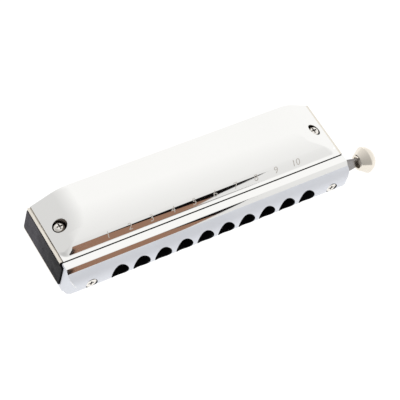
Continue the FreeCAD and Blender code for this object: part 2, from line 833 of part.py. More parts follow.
def make_mouthpiece():
    """A round-nosed bar with a channel behind it for the slide stack."""
    bar = body("mouthpiece_bar")
    half = "channel_height / 2"
    profile = sketch(bar, "nose_profile", "YZ")
    outline(profile, [
        ("mouthpiece_back", "ledge_height"), ("ledge_front", "ledge_height"),
        ("bevel_front", "bevel_height", "nose_radius"), ("bevel_front", "-bevel_height"),
        ("ledge_front", "-ledge_height"), ("mouthpiece_back", "-ledge_height"),
    ])
    pad(bar, "nose_bar", profile, "mouthpiece_length", both_ways=True)

    corner = sketch(bar, "corner_outline", "XY")
    end = "(mouthpiece_length / 2)"
    outline(corner, [
        (end + " - end_round", NOSE_TIP), (end + " - end_round", NOSE_TIP + " - 1"),
        (end + " + 1", NOSE_TIP + " - 1"), (end + " + 1", NOSE_TIP + " + end_round"),
        (end, NOSE_TIP + " + end_round", "-end_round"),
    ])
    first_corner = pocket(bar, "corner_cut", corner, both_ways=True)
    twin(bar, "both_corners", first_corner)

    flange_gap = sketch(bar, "flange_gap", "YZ")
    rectangle(flange_gap, "end_wall_back", "-" + half, 0, half)
    pocket(bar, "flange_cut", flange_gap, both_ways=True)
    channel = sketch(bar, "channel_outline", "XY", "-" + half)
    rectangle(channel, "-stack_length / 2 - hole_fit", "front_plate_front", "stack_length / 2 + hole_fit", 0)
    pocket(bar, "channel_cut", channel, "channel_height", forwards=True)

    slide_exit = sketch(bar, "slide_exit", "YZ")
    rectangle(slide_exit, "slide_front - hole_fit", "-blade_height / 2 - hole_fit",
              "slide_back + hole_fit", "blade_height / 2 + hole_fit")
    pocket(bar, "slide_exit_cut", slide_exit, forwards=True)

    first_hole = sketch(bar, "first_hole", "XZ")
    disc(first_hole, FIRST_HOLE, 0, "hole_diameter / 2")
    first = pocket(bar, "first_hole_cut", first_hole, both_ways=True)
    row(bar, "mouth_holes", first, first_hole)

    sinks = []
    for side, way in (("left", "-1"), ("right", "1")):
        x = way + " * mouth_screw_x"
        sinks.append(rod("mouth_%s_hole" % side, x, NOSE_TIP + " - 1", 0,
                         "mouth_screw_radius + hole_fit", 10, along=Vector(0, 1, 0)))
        sinks.append(rod("mouth_%s_entry" % side, x, NOSE_TIP + " - 1", 0, "mouth_head_radius",
                         "mouth_head_front - %s + 1" % NOSE_TIP, along=Vector(0, 1, 0)))
        sink = doc.addObject("Part::Cone", "mouth_%s_sink" % side)
        bind(sink, Radius1="mouth_head_radius", Radius2="mouth_screw_radius", Height="mouth_head_depth")
        sink.Placement.Rotation = FreeCAD.Rotation(Vector(0, 0, 1), Vector(0, 1, 0))
        place(sink, x, "mouth_head_front", 0)
        sinks.append(sink)
    piece("mouthpiece", cut("mouthpiece_shape", bar, sinks))


# ---------------------------------------------------------------- button

SLIDE_MIDDLE = "((slide_back + slide_front) / 2)"
SLIDE_THICKNESS = "(slide_back - slide_front)"


def make_button():
    """A flared button turned about the blade's middle, slotted for the blade's end."""
    knob = body("button_body")
    profile = sketch(knob, "button_profile", "XZ", "-" + SLIDE_MIDDLE)
    bottom = "button_back + button_bore_depth"
    outline(profile, [
        (bottom, 0), ("button_face", 0), ("button_face", "button_face_radius", "button_face_round"),
        ("button_shoulder", "button_shoulder_radius"), ("button_rim", "button_rim_radius"),
        ("button_back", "button_back_radius"), ("button_back", "button_bore_radius"),
        (bottom, "button_bore_radius"),
    ])
    spin(knob, "button_turned", profile, "H_Axis")
    height = "(neck_height + 2 * blade_fit)"
    thickness = "(%s + 2 * blade_fit)" % SLIDE_THICKNESS
    slot = block("blade_slot", "button_back - 1", "%s - %s / 2" % (SLIDE_MIDDLE, thickness),
                 "-%s / 2" % height, "blade_right + blade_fit - button_back + 1", thickness, height)
    hole = rod("button_pin_way", "button_pin_x", SLIDE_MIDDLE + " + button_pin_front", 0,
               "button_pin_radius", 10, along=Vector(0, 1, 0))
    piece("button", cut("button_shape", knob, [slot, hole]))
    piece("button_pin", rod("button_pin_shape", "button_pin_x", SLIDE_MIDDLE + " + button_pin_front", 0,
                            "button_pin_radius", "button_pin_back - button_pin_front",
                            along=Vector(0, 1, 0)))


# ---------------------------------------------------------------- return spring

def make_spring():
    """A coiled wire spring on a post, whose long leg reaches into the slide."""
    wire = body("spring_wire")
    start = sketch(wire, "wire_section", "XZ")
    disc(start, "coil_radius", 0, "wire_radius")
    pad(wire, "long_leg", start, "leg_length")
    turn = sketch(wire, "coil_section", "XZ")
    disc(turn, "coil_radius", 0, "wire_radius")
    coil = wire.newObject("PartDesign::AdditiveHelix", "coil")
    coil.Profile = turn
    coil.ReferenceAxis = (turn, ["V_Axis"])
    coil.Mode = "pitch-turns-angle"
    bind(coil, Pitch="coil_pitch", Turns="coil_turns")
    finish = sketch(wire, "tail_section", "XZ")
    disc(finish, "coil_radius", "coil_pitch * coil_turns", "wire_radius")
    tail = pad(wire, "tail", finish, "tail_length")
    tail.Reversed = True
    wire.Tip = tail
    wire.Placement.Rotation = FreeCAD.Rotation(Vector(0, 0, 1), DIMENSIONS["rest_tilt"])
    bind(wire, Placement__Rotation__Angle="rest_tilt * 1 deg")
    place(wire, "post_x", "post_y", "leg_level")
    piece("return_spring", wire)
    piece("spring_pin", rod("spring_pin_shape", "post_x", "post_y", "pocket_floor - post_depth",
                            "post_radius", "comb_height / 2 - hole_fit - pocket_floor + post_depth"))


# ---------------------------------------------------------------- build and write

def check(thing):
    """Stop if an object failed to build."""
    if "Invalid" in thing.State or "Error" in thing.State:
        raise RuntimeError("%s did not build: %s" % (thing.Name, thing.State))


def write_pieces():
    for thing in doc.Objects:
        check(thing)
    for thing in pieces:
        if thing.Shape.isNull() or not thing.Shape.isValid():
            raise RuntimeError("%s has no valid shape" % thing.Label)
    os.makedirs("parts", exist_ok=True)
    for thing in pieces:
        thing.Shape.exportStep("parts/%s.step" % thing.Label)
        print(thing.Label, len(thing.Shape.Solids), "solids", round(thing.Shape.Volume, 2), "mm3")


make_comb()
make_reed_plates()
for reed_kind in ("blow", "draw"):
    make_reeds(reed_kind)
make_rivets()
make_valves("blow", "outer")
make_valves("draw", "inner")
make_plate_screws()
make_covers()
make_cover_screws()
make_stack_plates()
make_slide()
make_mouthpiece()
make_mouthpiece_screws()
make_button()
make_spring()
doc.recompute()
write_pieces()
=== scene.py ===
import math

import bmesh
import bpy
from mathutils import Euler, Matrix, Vector


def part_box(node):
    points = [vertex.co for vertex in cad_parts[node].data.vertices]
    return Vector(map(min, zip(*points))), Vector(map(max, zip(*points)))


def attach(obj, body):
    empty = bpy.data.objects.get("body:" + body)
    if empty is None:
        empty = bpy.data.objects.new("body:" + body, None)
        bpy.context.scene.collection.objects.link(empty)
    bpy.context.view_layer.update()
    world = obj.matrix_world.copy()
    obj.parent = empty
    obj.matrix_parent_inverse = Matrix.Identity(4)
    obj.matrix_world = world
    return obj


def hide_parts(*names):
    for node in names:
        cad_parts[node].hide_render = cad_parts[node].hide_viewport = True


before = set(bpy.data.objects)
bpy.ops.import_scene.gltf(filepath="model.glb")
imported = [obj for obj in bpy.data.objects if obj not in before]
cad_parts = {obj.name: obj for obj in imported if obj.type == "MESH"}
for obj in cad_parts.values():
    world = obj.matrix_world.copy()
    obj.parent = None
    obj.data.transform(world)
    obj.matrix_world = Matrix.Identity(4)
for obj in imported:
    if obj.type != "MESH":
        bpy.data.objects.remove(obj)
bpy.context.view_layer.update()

# ---------------------------------------------------------------- sizes, in millimetres
# Shapes are drawn in millimetres in the same frame as the CAD, then scaled by MM.
# A depth is counted backwards from the covers' front edge, FRONT.
# A height is counted upwards from the comb's middle, MIDDLE.

MM = 0.001
COVER_LOW, COVER_HIGH = [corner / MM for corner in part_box("upper_cover")]
MOUTH_LOW, MOUTH_HIGH = [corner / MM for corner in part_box("mouthpiece")]
BUTTON_LOW, BUTTON_HIGH = [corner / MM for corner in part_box("button")]
COMB_LOW, COMB_HIGH = [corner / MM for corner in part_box("comb")]

MIDDLE = (MOUTH_LOW.z + MOUTH_HIGH.z) / 2
FRONT = COVER_LOW.y
FOOT = COVER_LOW.z
CROWN = COVER_HIGH.z
SHEET = 0.5
COVER_HALF = COVER_HIGH.x
COVER_DEPTH = COVER_HIGH.y - FRONT
HOLE_PITCH = 9.4
HOLE_COUNT = 10
HOLE_RADIUS = 3.7
SCREW_X = 57.4
SCREW_Y = (COVER_LOW.y + COVER_HIGH.y) / 2
SIDES = (-1, 1)
LEVELS = ("upper", "lower")


def hole_x(index):
    """Where hole number index stands, counted from 0."""
    return HOLE_PITCH * (index - (HOLE_COUNT - 1) / 2)


# ---------------------------------------------------------------- materials

# the range that most of a noise texture's values fall in
NOISE_LOW = 0.3
NOISE_HIGH = 0.7


class Tree:
    """A short way to write the nodes of a tree."""

    def __init__(self, tree):
        self.tree = tree

    def set(self, socket, setting):
        """Link a socket to another one, or give it a plain value."""
        if isinstance(setting, bpy.types.NodeSocket):
            self.tree.links.new(setting, socket)
        else:
            socket.default_value = setting

    def set_all(self, node, sockets):
        """Set a node's inputs by name, written with _ for each space."""
        for name, setting in sockets.items():
            self.set(node.inputs[name.replace("_", " ")], setting)

    def add(self, kind, **sockets):
        node = self.tree.nodes.new(kind)
        self.set_all(node, sockets)
        return node

    def math(self, operation, *values):
        node = self.tree.nodes.new("ShaderNodeMath")
        node.operation = operation
        for socket, value in zip(node.inputs, values):
            self.set(socket, value)
        return node.outputs["Value"]

    def blend(self, factor, first, second):
        """Mix two colours, each a socket or a plain colour."""
        node = self.tree.nodes.new("ShaderNodeMix")
        node.data_type = "RGBA"
        self.set(node.inputs["Factor"], factor)
        colours = [socket for socket in node.inputs if socket.type == "RGBA"]
        for socket, colour in zip(colours, (first, second)):
            self.set(socket, colour)
        return [socket for socket in node.outputs if socket.type == "RGBA"][0]

    def ramp_up(self, value, start, end):
        """0 below start, 1 above end, smooth between."""
        node = self.add("ShaderNodeMapRange", Value=value, From_Min=start, From_Max=end)
        node.interpolation_type = "SMOOTHSTEP"
        return node.outputs["Result"]


class Nodes(Tree):
    """A short way to write a material's nodes."""

    def __init__(self, name):
        self.material = bpy.data.materials.new(name)
        self.material.use_nodes = True
        super().__init__(self.material.node_tree)
        self.shader = self.tree.nodes["Principled BSDF"]
        self.place = self.tree.nodes.new("ShaderNodeTexCoord").outputs["Object"]

    def surface(self, **sockets):
        """Set inputs of the material's shader."""
        self.set_all(self.shader, sockets)

    def stretched(self, x, y, z):
        """The object's own coordinates, scaled per axis, for grain that runs one way."""
        node = self.add("ShaderNodeMapping", Vector=self.place, Scale=(x, y, z))
        return node.outputs["Vector"]

    def noise(self, scale, detail=4.0, place=None):
        place = place or self.place
        node = self.add("ShaderNodeTexNoise", Vector=place, Scale=scale, Detail=detail)
        return node.outputs["Fac"]

    def spread(self, noise, low, high):
        """A noise stretched so that most of it falls between low and high."""
        node = self.add("ShaderNodeMapRange", Value=noise, From_Min=NOISE_LOW,
                        From_Max=NOISE_HIGH, To_Min=low, To_Max=high)
        return node.outputs["Result"]

    def between(self, noise, first, second):
        """A colour that wanders between two with a noise."""
        node = self.add("ShaderNodeValToRGB", Fac=noise)
        for stop, colour in zip(node.color_ramp.elements, (first, second)):
            stop.color = (*colour, 1)
        return node.outputs["Color"]

    def bump(self, height, distance, strength=1.0):
        node = self.add("ShaderNodeBump", Height=height, Distance=distance, Strength=strength)
        self.surface(Normal=node.outputs["Normal"])


def plating(name, tint, deep, low, high, wave=4e-6):
    """Bright plating: faint smears in its gloss, hairline scratches, a slow waviness."""
    nodes = Nodes(name)
    hairlines = nodes.noise(scale=260.0, detail=8.0, place=nodes.stretched(0.25, 6.0, 6.0))
    nodes.surface(
        Metallic=1.0,
        Base_Color=nodes.between(nodes.noise(scale=35.0, detail=3.0), deep, tint),
        Roughness=nodes.spread(nodes.noise(scale=90.0, detail=6.0), low, high),
    )
    nodes.bump(hairlines, wave)
    return nodes.material


def moulded(name, colour, lit_colour, roughness):
    """Moulded black plastic with a fine sparked grain, with painted light: paler towards the back.
    """
    nodes = Nodes(name)
    ways = nodes.add("ShaderNodeSeparateXYZ", Vector=nodes.place).outputs
    # painted light: the colour grows paler towards the back of the comb, broken by random patches
    painted_light_to_back = nodes.ramp_up(ways["Y"], COMB_LOW.y * MM, COMB_HIGH.y * MM)
    patches = nodes.spread(nodes.noise(scale=120.0, detail=5.0), 0.6, 1.0)
    share = nodes.math("MULTIPLY", painted_light_to_back, patches)
    gloss = nodes.noise(scale=400.0, detail=3.0)
    nodes.surface(
        Base_Color=nodes.blend(share, (*colour, 1), (*lit_colour, 1)),
        Roughness=nodes.spread(gloss, roughness - 0.06, roughness + 0.1),
        Specular_IOR_Level=0.05,
    )
    nodes.bump(nodes.noise(scale=5200.0, detail=2.0), 3e-5, strength=0.5)
    return nodes.material


def rolled(name, colour, deep, roughness, grain=(6.0, 0.3, 6.0)):
    """Rolled or ground sheet metal with its grain along one way."""
    nodes = Nodes(name)
    lines = nodes.noise(scale=420.0, detail=6.0, place=nodes.stretched(*grain))
    gloss = nodes.noise(scale=150.0)
    nodes.surface(
        Metallic=1.0,
        Base_Color=nodes.between(lines, deep, colour),
        Roughness=nodes.spread(gloss, roughness - 0.08, roughness + 0.12),
    )
    nodes.bump(lines, 1e-5, strength=0.6)
    return nodes.material


def screw_metal(name, colour, deep, shade_colour):
    """Plated screws, with painted shade: the colour turns dark in the recess."""
    nodes = Nodes(name)
    lines = nodes.noise(scale=300.0, detail=5.0)
    # painted shade: ambient occlusion turns the colour dark inside the screw's recess
    occlusion = nodes.add("ShaderNodeAmbientOcclusion", Distance=0.9 * MM).outputs["AO"]
    unshaded = nodes.ramp_up(occlusion, 0.35, 0.75)
    nodes.surface(
        Metallic=1.0,
        Base_Color=nodes.blend(unshaded, (*shade_colour, 1), nodes.between(lines, deep, colour)),
        Roughness=nodes.spread(nodes.noise(scale=500.0), 0.16, 0.3),
    )
    nodes.bump(lines, 5e-6, strength=0.5)
    return nodes.material


def film(name):
    """Thin milky valve film, a little uneven."""
    nodes = Nodes(name)
    nodes.surface(
        Base_Color=nodes.between(nodes.noise(scale=220.0), (0.62, 0.58, 0.47), (0.83, 0.80, 0.70)),
        Roughness=nodes.spread(nodes.noise(scale=600.0), 0.35, 0.6),
        Transmission_Weight=0.15,
    )
    nodes.bump(nodes.noise(scale=900.0), 2e-5, strength=0.5)
    return nodes.material


def etched(name):
    """The cut surface of the numbers: pale, rough and matt beside the plating."""
    nodes = Nodes(name)
    nodes.surface(
        Metallic=0.2,
        Base_Color=nodes.between(nodes.noise(scale=900.0), (0.56, 0.52, 0.47), (0.70, 0.66, 0.61)),
        Roughness=nodes.spread(nodes.noise(scale=3000.0), 0.6, 0.85),
    )
    nodes.bump(nodes.noise(scale=9000.0), 1e-5)
    return nodes.material


CHROME = plating("chrome_plating", (0.93, 0.925, 0.905), (0.905, 0.90, 0.88), 0.015, 0.045, 1.5e-6)
# painted shade: the nose, its upright corners and the flat ends take a darker, bluish copy of the
# plating for their dimmer reflection; its higher roughness gives a satin gloss
SHADED_NOSE_CHROME = plating("shaded_nose_plating", (0.79, 0.805, 0.845), (0.74, 0.755, 0.795), 0.56, 0.66)
NICKEL = plating("warm_nickel", (0.83, 0.775, 0.69), (0.77, 0.71, 0.62), 0.06, 0.15)
# painted shade: the mouth holes' bores and the screw seats take this near-black metal in place of
# the shade inside them
BORE_SHADE = rolled("painted_bore_shade", (0.05, 0.05, 0.052), (0.02, 0.02, 0.022), 0.4, (3.0, 0.5, 3.0))
CUP_SHADE = rolled("painted_cup_shade", (0.30, 0.27, 0.24), (0.12, 0.10, 0.09), 0.3, (1.0, 1.0, 1.0))
BLADE = rolled("blade_steel", (0.30, 0.285, 0.28), (0.18, 0.17, 0.165), 0.3, (0.3, 6.0, 6.0))
COMB_PLASTIC = moulded("comb_plastic", (0.005, 0.005, 0.006), (0.078, 0.073, 0.086), 0.42)
PLATE = rolled("plate_metal", (0.86, 0.82, 0.74), (0.72, 0.67, 0.59), 0.24)
REED = rolled("reed_brass", (0.80, 0.62, 0.30), (0.66, 0.48, 0.21), 0.3)
RIVET = rolled("rivet_brass", (0.74, 0.58, 0.30), (0.58, 0.43, 0.20), 0.35)
VALVE = film("valve_film")
SCREW = screw_metal("screw_plating", (0.92, 0.89, 0.84), (0.80, 0.76, 0.70), (0.03, 0.025, 0.02))
WIRE = rolled("spring_wire", (0.52, 0.51, 0.50), (0.36, 0.35, 0.34), 0.35, (1.0, 1.0, 1.0))
ETCHED = etched("etched_number")

KEPT_NODES = {
    "comb": COMB_PLASTIC,
    "slide": BLADE,
    "slide_back_plate": BLADE,
    "slide_front_plate": BLADE,
    "cover_screws": SCREW,
    "mouthpiece_screws": SCREW,
    "button_pin": SCREW,
    "spring_pin": SCREW,
    "return_spring": WIRE,
}
for level in LEVELS:
    KEPT_NODES[level + "_reed_plate"] = PLATE
    KEPT_NODES[level + "_blow_reeds"] = REED
    KEPT_NODES[level + "_draw_reeds"] = REED
    KEPT_NODES[level + "_reed_rivets"] = RIVET
    KEPT_NODES[level + "_outer_valves"] = VALVE
    KEPT_NODES[level + "_inner_valves"] = VALVE
    KEPT_NODES[level + "_plate_screws"] = SCREW


def finish_kept_nodes():
    """Give each CAD piece that keeps its shape its own finish."""
    for name, material in KEPT_NODES.items():
        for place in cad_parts[name].material_slots:
            place.material = material


# ---------------------------------------------------------------- mesh helpers

def new_object(name, mesh, materials, body):
    """Put a mesh in the scene as a finished piece of a body, with one or more materials."""
    thing = bpy.data.objects.new(name, mesh)
    bpy.context.scene.collection.objects.link(thing)
    indices = [face.material_index for face in mesh.polygons]
    mesh.materials.clear()
    for material in materials:
        mesh.materials.append(material)
    if len(materials) > 1:
        mesh.polygons.foreach_set("material_index", indices)
    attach(thing, body)
    return thing


def mesh_of(name, points, faces):
    """A mesh from points in millimetres."""
    mesh = bpy.data.meshes.new(name)
    mesh.from_pydata([Vector(point) * MM for point in points], [], faces)
    mesh.update()
    return mesh


def spaced(stops):
    """Values from stop to stop; each stop is (end, step), the first (start, None)."""
    values = [stops[0][0]]
    for end, step in stops[1:]:
        start = values[-1]
        count = max(1, round(abs(end - start) / step))
        values += [start + (end - start) * number / count for number in range(1, count + 1)]
    return values


def turned(name, profile, turns=96):
    """A solid of revolution about x from a closed outline of (x, radius) points."""
    points = []
    faces = []
    count = len(profile)
    for turn in range(turns):
        angle = 2 * math.pi * turn / turns
        points += [(x, radius * math.cos(angle), radius * math.sin(angle)) for x, radius in profile]
    for turn in range(turns):
        this = turn * count
        following = (turn + 1) % turns * count
        for step in range(count):
            after = (step + 1) % count
            faces.append((this + step, following + step, following + after, this + after))
    mesh = mesh_of(name, points, faces)
    tidy(mesh)
    return mesh


def tidy(mesh):
    """Merge doubled points and turn every face outwards."""
    work = bmesh.new()
    work.from_mesh(mesh)
    bmesh.ops.remove_doubles(work, verts=work.verts, dist=0.002 * MM)
    bmesh.ops.dissolve_degenerate(work, edges=work.edges, dist=0.001 * MM)
    bmesh.ops.recalc_face_normals(work, faces=work.faces)
    work.to_mesh(mesh)
    work.free()


def carve(mesh, cutters):
    """Take solid cutters away from a mesh and return the mesh that is left."""
    body = bpy.data.objects.new("carving", mesh)
    bpy.context.scene.collection.objects.link(body)
    helpers = []
    for cutter in cutters:
        helper = bpy.data.objects.new("cutter", cutter)
        bpy.context.scene.collection.objects.link(helper)
        modifier = body.modifiers.new("cut", "BOOLEAN")
        modifier.operation = "DIFFERENCE"
        modifier.solver = "EXACT"
        modifier.object = helper
        helpers.append(helper)
    graph = bpy.context.evaluated_depsgraph_get()
    result = bpy.data.meshes.new_from_object(body.evaluated_get(graph))
    for helper in helpers + [body]:
        bpy.data.objects.remove(helper)
    return result


def shade(mesh, surfaces, close=0.97):
    """Give each face corner the true normal of the surface that it lies on.

    surfaces are functions from a point in millimetres to a unit normal.  A corner takes
    the one that best matches its face, and keeps the face's own normal where none does.
    A face's material index becomes the place of its surface in the list, counted from 1.
    """
    normals = []
    for face in mesh.polygons:
        for index in face.loop_indices:
            point = mesh.vertices[mesh.loops[index].vertex_index].co / MM
            best = face.normal
            match = close
            face.material_index = 0
            for number, surface in enumerate(surfaces, start=1):
                normal = surface(point)
                likeness = normal.dot(face.normal)
                if abs(likeness) > match:
                    match = abs(likeness)
                    best = normal if likeness > 0 else -normal
                    face.material_index = number
            normals.append(best)
    mesh.polygons.foreach_set("use_smooth", [True] * len(mesh.polygons))
    mesh.normals_split_custom_set(normals)


def smooth_below(mesh, degrees):
    """Shade a mesh smooth, with sharp edges where faces meet at more than an angle."""
    mesh.polygons.foreach_set("use_smooth", [True] * len(mesh.polygons))
    mesh.set_sharp_from_angle(angle=math.radians(degrees))


def disc_tool(name, centre, radius, low, high, axis="z", sides=64):
    """A round cutter between two levels of an axis."""
    points = []
    for level in (low, high):
        for side in range(sides):
            angle = 2 * math.pi * side / sides
            first = radius * math.cos(angle)
            second = radius * math.sin(angle)
            if axis == "z":
                points.append((centre[0] + first, centre[1] + second, level))
            else:
                points.append((centre[0] + first, level, centre[1] + second))
    faces = [tuple(range(sides))[::-1], tuple(range(sides, 2 * sides))]
    for side in range(sides):
        after = (side + 1) % sides
        faces.append((side, after, sides + after, sides + side))
    mesh = mesh_of(name, points, faces)
    tidy(mesh)
    return mesh


def box_tool(name, low, high):
    """A box cutter between two corners."""
    work = bmesh.new()
    bmesh.ops.create_cube(work, size=1.0)
    size = (Vector(high) - Vector(low)) * MM
    middle = (Vector(high) + Vector(low)) / 2 * MM
    for vertex in work.verts:
        vertex.co = Vector([vertex.co[axis] * size[axis] for axis in range(3)]) + middle
    mesh = bpy.data.meshes.new(name)
    work.to_mesh(mesh)
    work.free()
    return mesh


# ---------------------------------------------------------------- covers

# the front wall, from the flat lip at its foot up to the crown
LIP = 1.3
EDGE_HEIGHT = 7.0
WALL_TOP_Y = 3.8
WALL_TOP_Z = 9.6
WALL_SLOPE = (WALL_TOP_Z - EDGE_HEIGHT) / (WALL_TOP_Y - LIP)
WALL_BULGE = 0.06
EASE_START = 50.0
END_EASE = 0.0003
LIP_ROUND = 0.25

# the end walls and the corners where they meet the front wall
END_EDGE = 7.1
END_SLOPE = math.tan(math.radians(28))
CORNER_ROUND = 3.2
CREASE_ROUND = 1.2
CREASE_LEAST = 0.01
CREASE_FADE = 2.0

# the arched crown, and how widely its shoulder is rounded in front and behind
CROWN_START = 17.0
CROWN_HEIGHT = CROWN - MIDDLE
CROWN_RISE = CROWN_HEIGHT - WALL_TOP_Z
CROWN_RUN = CROWN_START - WALL_TOP_Y
CROWN_RADIUS = (CROWN_RUN ** 2 + CROWN_RISE ** 2) / (2 * CROWN_RISE)
SHOULDER_ROUND = 0.5
SHOULDER_GROWTH = 1.3
SHOULDER_CHANGE = (LIP + 4, LIP + 7)
BACK_ROLL = 0.2
BACK_ROLL_REACH = 1.6

# how finely the sheet is divided: each pair is a place and the step on the way to it
ACROSS_STOPS = [(0, None), (46, 4.6), (COVER_HALF, 0.3)]
DEPTH_STOPS = [(0, None), (5.2, 0.13), (11, 0.3), (18, 0.6), (24.5, 1.2), (COVER_DEPTH, 0.2)]


def softer(first, second, reach):
    """The lower of two heights, with the crossing rounded over a reach."""
    share = max(reach - abs(first - second), 0.0) / reach
    return min(first, second) - share * share * reach / 4


def part_way(value, start, end):
    """How far a value has gone from start to end, between 0 and 1."""
    return min(max((value - start) / (end - start), 0.0), 1.0)


def wall_bulge(run):
    """How far the front wall stands out from a straight slope, at a run in from its edge."""
    share = run / (WALL_TOP_Y - LIP)
    return WALL_BULGE * 4 * share * (1 - share)


def skirt_height(x, depth):
    """The sloping front wall, end wall and the rounded corner where they meet."""
    eased = END_EASE * max(abs(x) - EASE_START, 0.0) ** 2
    wall = EDGE_HEIGHT - eased + (depth - LIP) * WALL_SLOPE + wall_bulge(depth - LIP)
    end = END_EDGE + (COVER_HALF - abs(x)) * END_SLOPE
    along = abs(x) - (COVER_HALF - CORNER_ROUND)
    ahead = LIP + CORNER_ROUND - depth
    if ahead <= 0:
        return end
    crease = CREASE_ROUND * part_way(along, CORNER_ROUND / 2, 0) * part_way(ahead, 0, CREASE_FADE)
    crease += CREASE_LEAST
    if along <= 0:
        return softer(wall, end, crease)
    turn = math.atan2(ahead, along) / (math.pi / 2)
    slope = END_SLOPE + (WALL_SLOPE - END_SLOPE) * turn
    edge = END_EDGE + (EDGE_HEIGHT - END_EDGE) * turn
    run = CORNER_ROUND - math.hypot(along, ahead)
    corner = edge + run * slope + (wall_bulge(run) - eased) * turn
    return softer(corner, end, crease)


def cover_height(x, y):
    """The height of the upper cover's outer surface over a place."""
    depth = y - FRONT
    behind = min(depth - CROWN_START, 0.0)
    crown = CROWN_HEIGHT - CROWN_RADIUS + math.sqrt(max(CROWN_RADIUS ** 2 - behind ** 2, 0.0))
    rolled_part = max(0.0, (depth - COVER_DEPTH + BACK_ROLL_REACH) / BACK_ROLL_REACH)
    crown -= BACK_ROLL * rolled_part ** 2
    reach = SHOULDER_ROUND + SHOULDER_GROWTH * part_way(depth, *SHOULDER_CHANGE)
    shape = softer(skirt_height(x, depth), crown, reach)
    return -softer(-shape, -EDGE_HEIGHT, LIP_ROUND)


def cover_normal(point):
    """The outward normal of the cover's outer surface over a point."""
    step = 0.02
    y = min(max(point.y, COVER_LOW.y + step), COVER_HIGH.y - step)
    along_x = (cover_height(point.x + step, y) - cover_height(point.x - step, y)) / (2 * step)
    along_y = (cover_height(point.x, y + step) - cover_height(point.x, y - step)) / (2 * step)
    return Vector((-along_x, -along_y, 1.0)).normalized()


def inner_point(point, depth):
    """The sheet's inner surface under a point of the outer one, with upright cut edges."""
    inside = point - cover_normal(point) * SHEET
    if abs(abs(point.x) - COVER_HALF) < 0.001:
        inside.x = point.x
    if depth in (0, COVER_DEPTH):
        inside.y = point.y
    inside.y = max(inside.y, FRONT)
    inside.z = max(inside.z, FOOT)
    return inside


def cover_sheet():
    """The pressed sheet: an outer grid, an inner grid and the edges between them."""
    half = spaced(ACROSS_STOPS)
    across = [-x for x in half[:0:-1]] + half
    depths = spaced(DEPTH_STOPS)
    depths[-1] = COVER_DEPTH
    outer = []
    inner = []
    for x in across:
        for depth in depths:
            point = Vector((x, FRONT + depth, MIDDLE + cover_height(x, FRONT + depth)))
            outer.append(point)
            inner.append(inner_point(point, depth))
    columns = len(across)
    rows = len(depths)
    start = len(outer)
    faces = []
    for column in range(columns - 1):
        for row in range(rows - 1):
            corner = column * rows + row
            beside = corner + rows
            faces.append((corner, beside, beside + 1, corner + 1))
            faces.append([start + place for place in (corner, corner + 1, beside + 1, beside)])
    rim = [column * rows for column in range(columns)]
    rim += [(columns - 1) * rows + row for row in range(1, rows)]
    rim += [column * rows + rows - 1 for column in range(columns - 2, -1, -1)]
    rim += list(range(rows - 2, 0, -1))
    for place, corner in enumerate(rim):
        after = rim[(place + 1) % len(rim)]
        faces.append((corner, start + corner, start + after, after))
    mesh = mesh_of("cover_sheet", outer + inner, faces)
    tidy(mesh)
    return mesh


CUP_RADIUS = 2.65
CUP_LIP = 2.77
CUP_BORE = 1.1
CUP_FLOOR = FOOT + SHEET
CUP_TURNS = 72

# The cup's section, from its lip down the wall, over the floor to the bore and back up
# outside.  Each row is a radius, the level it is measured from and the rise above that.
CUP_SECTION = [
    (CUP_LIP, "sheet", 0.0),
    (CUP_RADIUS + 0.05, "sheet", -0.05),
    (CUP_RADIUS, "sheet", -0.16),
    (CUP_RADIUS, "floor", 0.35),
    (CUP_RADIUS - 0.1, "floor", 0.1),
    (CUP_RADIUS - 0.3, "floor", 0.0),
    (CUP_BORE, "floor", 0.0),
    (CUP_BORE, "floor", -SHEET),
    (3.0, "floor", -SHEET),
    (CUP_RADIUS + SHEET, "floor", -0.1),
    (CUP_RADIUS + SHEET, "sheet", -0.45),
    (CUP_LIP + 0.25, "sheet", -0.2),
]


def cup(side):
    """The drawn cup round one cover screw, from the sloping sheet down to its floor."""
    centre = Vector((side * SCREW_X, SCREW_Y, 0))
    points = []
    for radius, level, rise in CUP_SECTION:
        for turn in range(CUP_TURNS):
            angle = 2 * math.pi * turn / CUP_TURNS
            x = centre.x + radius * math.cos(angle)
            y = centre.y + radius * math.sin(angle)
            base = MIDDLE + cover_height(x, y) if level == "sheet" else CUP_FLOOR
            points.append((x, y, base + rise))
    faces = []
    for ring in range(len(CUP_SECTION)):
        this = ring * CUP_TURNS
        following = (ring + 1) % len(CUP_SECTION) * CUP_TURNS
        for turn in range(CUP_TURNS):
            after = (turn + 1) % CUP_TURNS
            faces.append((this + turn, this + after, following + after, following + turn))
    mesh = mesh_of("cup", points, faces)
    tidy(mesh)
    smooth_below(mesh, 40)
    # the cup's inside takes CUP_SHADE, painted shade for the dark ring round the screw
    for face in mesh.polygons:
        off_axis = (face.center / MM - centre).xy.length
        face.material_index = 0 if off_axis > CUP_RADIUS + 0.02 else 1
    return mesh


# a face with less of its normal upright than this belongs to the sheet's cut edge
EDGE_FACE = 0.3


